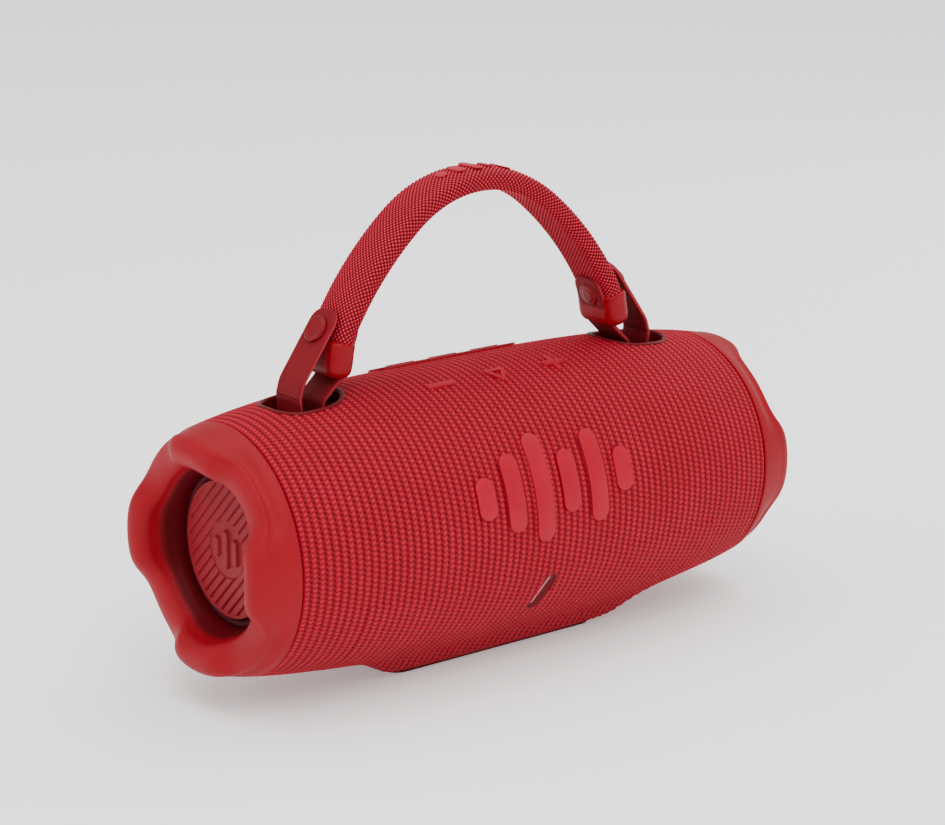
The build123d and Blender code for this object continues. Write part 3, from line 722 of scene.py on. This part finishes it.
def ribbon_place(side, line, head_first):
    """A flat ribbon along a line, with its head's corners rounded at one end."""
    def place(a, b):
        turn = 2 * pi * a
        share = 1 - b if head_first else b
        from_head = (1 - share) * line.length
        half = ribbon_half
        if from_head < head_corner:
            dip = sqrt(max(head_corner ** 2 - (head_corner - from_head) ** 2, 0.0))
            half = ribbon_half - head_corner + dip
        thin = ribbon / 2 * min(1.0, 0.35 + from_head / (0.6 * MM))
        spot = line.at(1 - share if head_first else share)
        way = line.heading(1 - share if head_first else share)
        up = abs(sin(turn)) ** 0.25 * (1 if sin(turn) > 0 else -1)
        wide = abs(cos(turn)) ** 0.12 * (1 if cos(turn) > 0 else -1)
        y = wide * half
        edge = min(1.0, (half - abs(y)) / edge_round)
        out = up * thin * (edge_thin + (1 - edge_thin) * sqrt(max(edge, 0.0)))
        spot = spot + Vector((-way.y, way.x)) * out
        return Vector((side * spot.x, y, spot.y))
    return place


def ribbon_finish():
    finish, place = start_finish("coated_ribbon")
    edge = wave(place.grid()[0] * 2.0).step(0.90, 0.995)
    speck = place.noise(2500.0, 3.0)
    bloom = place.noise(90.0, 3.0)
    face = bloom.mix((0.135, 0.0025, 0.006, 1), (0.165, 0.0045, 0.009, 1))
    colour = edge.mix(face, (0.30, 0.018, 0.028, 1))
    return end_finish(finish, colour, 0.5 + speck * 0.2, speck + place.noise(1400.0) * 0.5, 0.05 * MM,
                      Specular_IOR_Level=0.12)


ribbon_look = ribbon_finish()
loop_line = Line(rounded_route(loop_route, loop_bends))
tab_line = Line(rounded_route(tab_route, tab_bends))
for side, word in ends:
    for line, head_first, name, node in ((loop_line, True, "_inner_ribbon", "_strap_loop"),
                                         (tab_line, False, "_outer_tab", "_strap_tab")):
        strip = shut(wrapped(64, 160, ribbon_place(side, line, head_first)))
        settle(word + name, strip, ribbon_look, word + node)


# Snap buttons. A round enamelled cap with a raised rim is riveted through each tab, and a flat washer shows
# on the inner head of each ribbon, beside the strap.
snap_from_head = 7.7 * MM
washer_from_head = 7.0 * MM
snap_share = 1 - snap_from_head / tab_line.length
snap_spot, snap_way = tab_line.at(snap_share), tab_line.heading(snap_share)
washer_share = washer_from_head / loop_line.length
washer_spot, washer_way = loop_line.at(washer_share), loop_line.heading(washer_share)
button_section = Line([(0.0, 1.75), (1.2, 1.75), (2.9, 1.8), (3.35, 1.95), (3.7, 2.2), (4.1, 2.25),
                       (4.45, 2.05), (4.6, 1.7), (4.6, 1.0), (4.5, 0.75), (1.5, 0.75), (1.5, -2.2),
                       (1.1, -2.4), (0.0, -2.4)])
washer_section = Line([(0.0, 1.7), (2.2, 1.7), (2.6, 1.45), (3.2, 1.5), (3.9, 1.35), (4.2, 1.0),
                       (4.2, 0.6), (0.0, 0.6)])


def turned_place(side, spot, out, section):
    """A turned shape standing on a ribbon at a spot, facing out."""
    def place(a, b):
        radius, height = section.at(b)
        turn = 2 * pi * a
        at = spot + out * height * MM + Vector((out.y, -out.x)) * radius * MM * cos(turn)
        return Vector((side * at.x, radius * MM * sin(turn), at.y))
    return place


enamel = rubber_finish("snap_enamel", (0.15, 0.003, 0.007, 1), (0.18, 0.005, 0.010, 1), 0.01, 0.30)
snap_out = Vector((abs(snap_way.y), abs(snap_way.x)))
washer_out = -Vector((abs(washer_way.y), abs(washer_way.x)))
for side, word in ends:
    button = wrapped(72, 40, turned_place(side, snap_spot, snap_out, button_section))
    settle(word + "_snap_cap", button, enamel, word + "_snap_button")
    washer = wrapped(64, 32, turned_place(side, washer_spot, washer_out, washer_section))
    settle(word + "_snap_washer", washer, enamel, word + "_snap_socket", stands_for=False)


# Marks, keys and other small mouldings. The row of bars on the front, the small row on the strap, the keys,
# the strip that holds the rear ones, the socket's bezel and the foot pad are smooth, with softened edges.
def softened(node, width):
    """A copy of a CAD node with its sharp edges rounded by a width."""
    bm = bmesh.new()
    bm.from_mesh(frame["nodes"][node].data)
    bmesh.ops.remove_doubles(bm, verts=bm.verts, dist=0.001 * MM)
    bmesh.ops.dissolve_limit(bm, angle_limit=radians(0.5), verts=bm.verts, edges=bm.edges)
    sharp = [edge for edge in bm.edges if edge.is_manifold and edge.calc_face_angle() > radians(40)]
    bmesh.ops.bevel(bm, geom=sharp, offset=width, affect="EDGES", segments=2, profile=0.5, material=-1,
                    clamp_overlap=True)
    return bm


mark_rubber = rubber_finish("mark_rubber", (0.34, 0.004, 0.018, 1), (0.38, 0.006, 0.023, 1), 0.01, 0.36)
key_rubber = rubber_finish("key_rubber", (0.30, 0.003, 0.014, 1), (0.34, 0.005, 0.018, 1), 0.01, 0.38)
panel_rubber = rubber_finish("panel_rubber", (0.24, 0.0025, 0.009, 1), (0.27, 0.004, 0.012, 1), 0.02, 0.42)
foot_rubber = rubber_finish("foot_rubber", (0.10, 0.003, 0.006, 1), (0.13, 0.005, 0.009, 1), 0.05, 0.6)
for node, width, look in (("front_emblem", 0.30, mark_rubber), ("handle_emblem", 0.15, mark_rubber),
                          ("volume_down_key", 0.25, key_rubber), ("play_key", 0.2, key_rubber),
                          ("volume_up_key", 0.25, key_rubber), ("control_panel", 0.3, panel_rubber),
                          ("power_key", 0.3, key_rubber), ("pairing_key", 0.3, key_rubber),
                          ("link_key", 0.3, key_rubber), ("port_bezel", 0.2, panel_rubber),
                          ("foot_pad", 0.3, foot_rubber)):
    settle(node + "_moulding", softened(node, width * MM), look, node, turn_out=False)


# Status light. A smoky red diffuser sits a little below the sleeve's surface in a slanted slot with round
# ends, and its thin moulded lip covers the cut stitches.
light_section = Line([(0.0, -0.8), (1.7, -0.85), (2.0, -0.7), (2.2, -0.2), (2.4, 0.12), (2.7, 0.2),
                      (2.95, 0.05), (3.1, -0.5), (3.1, -1.4)])
# How far out from the diffuser's middle the painted highlight reaches, as a share of its section.
highlight_share = 0.09


def light_place(a, b):
    radius, height = light_section.at(b)
    turn = 2 * pi * a
    end = light_half[0] - light_half[1]
    along = radius * MM * cos(turn) + (end if cos(turn) > 0 else -end)
    across = radius * MM * sin(turn)
    x = light_x + along * cos(light_tilt) - across * sin(light_tilt)
    up = along * sin(light_tilt) + across * cos(light_tilt)
    around = light_turn - up / barrel(x)
    reach = barrel(x) + height * MM
    return Vector((x, -reach * sin(around), axis_z + reach * cos(around)))


def diffuser_finish():
    finish, place = start_finish("smoky_diffuser")
    # Painted highlight: a pale line down the middle of the diffuser stands in for a glint.
    line = 1 - place.grid()[1].step(highlight_share - 0.05, highlight_share + 0.02)
    smoke = place.noise(700.0).mix((0.11, 0.0015, 0.005, 1), (0.14, 0.0025, 0.007, 1))
    colour = line.mix(smoke, (0.46, 0.16, 0.18, 1))
    return end_finish(finish, colour, 0.45, place.noise(1200.0), 0.01 * MM, Specular_IOR_Level=0.2)


status_light = wrapped(48, 40, light_place)
settle("status_light_diffuser", status_light, diffuser_finish(), "status_light_lens")


# Everything inside, and the plain fittings. Moulded parts are black glass-filled plastic, the magnets' steel
# and the screws are zinc plated, and the battery's cells are in blue shrink sleeve.
def speckled_finish(name, dark, pale, rough, grain):
    """Moulded, pressed or printed stuff: two shades in small patches, and a fine grain."""
    finish, place = start_finish(name)
    colour = place.noise(350.0, 4.0).step(0.35, 0.65).mix((*dark, 1), (*pale, 1))
    speck = place.noise(2600.0)
    return end_finish(finish, colour, rough + speck * 0.15, speck, grain * MM)


def metal_finish(name, dark, bright, rough, stretch):
    """Metal with fine marks, longer along the axis whose stretch is smallest."""
    finish, place = start_finish(name)
    lines = place.node("Mapping", {}, {"Vector": place, "Scale": stretch}).noise(900.0, 4.0)
    stain = place.noise(60.0)
    colour = (lines * 0.6 + stain * 0.4).step(0.3, 0.7).mix((*dark, 1), (*bright, 1))
    return end_finish(finish, colour, rough + lines * 0.2, lines, 0.01 * MM, Metallic=1.0)


speckled = {
    "shell_plastic": ("black_nylon", (0.022, 0.022, 0.024), (0.03, 0.03, 0.032), 0.5, 0.05),
    "chip": ("chip_epoxy", (0.015, 0.015, 0.016), (0.022, 0.022, 0.023), 0.4, 0.02),
    "board": ("board_mask", (0.008, 0.07, 0.03), (0.012, 0.10, 0.045), 0.3, 0.02),
    "cone_paper": ("cone_pulp", (0.016, 0.016, 0.017), (0.032, 0.031, 0.03), 0.7, 0.12),
    "dark_rubber": ("roll_rubber", (0.012, 0.011, 0.011), (0.018, 0.017, 0.017), 0.55, 0.02),
    "ferrite": ("sintered_ferrite", (0.02, 0.02, 0.022), (0.035, 0.035, 0.037), 0.6, 0.06),
    "cell_wrap": ("blue_shrink", (0.015, 0.06, 0.22), (0.02, 0.08, 0.27), 0.22, 0.01),
    "dome_silk": ("coated_silk", (0.012, 0.012, 0.013), (0.02, 0.02, 0.021), 0.35, 0.04),
}
metals = {
    "bar_steel": ("drawn_steel", (0.30, 0.29, 0.29), (0.42, 0.41, 0.40), 0.25, (1, 0.06, 1)),
    "core_steel": ("spring_steel", (0.34, 0.34, 0.35), (0.45, 0.45, 0.46), 0.25, (0.06, 1, 1)),
    "screw_steel": ("screw_zinc", (0.42, 0.42, 0.43), (0.56, 0.56, 0.57), 0.25, (1, 1, 1)),
    "magnet_steel": ("plate_zinc", (0.40, 0.40, 0.42), (0.55, 0.55, 0.57), 0.3, (1, 1, 0.4)),
    "port_metal": ("port_nickel", (0.50, 0.48, 0.45), (0.62, 0.60, 0.57), 0.2, (1, 1, 1)),
    "coil_copper": ("enamelled_copper", (0.50, 0.20, 0.10), (0.62, 0.27, 0.14), 0.25, (1, 1, 8)),
}
inner_looks = {"snap_metal": enamel}
inner_looks.update((slot, speckled_finish(*look)) for slot, look in speckled.items())
inner_looks.update((slot, metal_finish(*look)) for slot, look in metals.items())
for node, part in frame["nodes"].items():
    look = inner_looks.get(finish_of[node])
    if look:
        part.data.materials.clear()
        part.data.materials.append(look)


# Floor, lights and camera. The object stands on a wide sheet of white paper in a white room, among four soft
# boxes, the largest straight above it. A long lens looks down a little on its front and left end.
floor_half = 6
floor_mesh = bpy.data.meshes.new("floor")
floor_bm = bmesh.new()
bmesh.ops.create_grid(floor_bm, x_segments=1, y_segments=1, size=floor_half)
floor_bm.to_mesh(floor_mesh)
floor_bm.free()
floor_look, _ = start_finish("paper_floor")
end_finish(floor_look, (0.95, 0.95, 0.95, 1), 0.9, Specular_IOR_Level=0.1, Emission_Color=(1, 1, 1, 1),
           Emission_Strength=0.3)
floor_mesh.materials.append(floor_look)
floor = bpy.data.objects.new("floor", floor_mesh)
bpy.context.scene.collection.objects.link(floor)
floor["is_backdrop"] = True

world = bpy.data.worlds.new("studio")
world.use_nodes = True
world.node_tree.nodes["Background"].inputs["Color"].default_value = (1, 1, 1, 1)
world.node_tree.nodes["Background"].inputs["Strength"].default_value = 0.85
bpy.context.scene.world = world

body_middle = Vector((0, 0, axis_z + 28 * MM))


def way_to(azimuth, elevation):
    """The way from the object, in radians. Azimuth 0 is its front, and a quarter turn its right."""
    flat = cos(elevation)
    return Vector((sin(azimuth) * flat, -cos(azimuth) * flat, sin(elevation)))


def soft_box(name, azimuth, elevation, away, width, height, power):
    """A soft box that looks at the object."""
    light = bpy.data.lights.new(name, "AREA")
    light.shape = "RECTANGLE"
    light.size, light.size_y = width, height
    light.energy = power
    box = bpy.data.objects.new(name, light)
    box.location = body_middle + way_to(radians(azimuth), radians(elevation)) * away
    box.rotation_euler = (body_middle - box.location).to_track_quat("-Z", "Y").to_euler()
    bpy.context.scene.collection.objects.link(box)


soft_box("key_light", -20, 45, 1.3, 0.9, 0.7, 7)
soft_box("left_light", -105, 15, 1.0, 0.5, 0.8, 2.5)
soft_box("right_light", 95, 25, 1.1, 0.5, 0.8, 3)
soft_box("top_light", 0, 89, 2.2, 3.0, 3.0, 60)

camera_turn = radians(-38.41)
camera_rise = radians(15.32)
camera_away = 0.992
camera_data = bpy.data.cameras.new("camera")
camera_data.lens = 112.1
camera_data.sensor_width = 36
camera_data.clip_start = 0.05
camera = bpy.data.objects.new("camera", camera_data)
aim = Vector((0.88 * MM, 0, axis_z + 28.35 * MM))
camera_back = way_to(camera_turn, camera_rise)
camera.location = aim + camera_back * camera_away
camera.rotation_euler = (-camera_back).to_track_quat("-Z", "Y").to_euler()
bpy.context.scene.collection.objects.link(camera)
bpy.context.scene.camera = camera

bounds = {"cad": cad_bounds, "visual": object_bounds()}
{word: [list(corner) for corner in corners] for word, corners in bounds.items()}
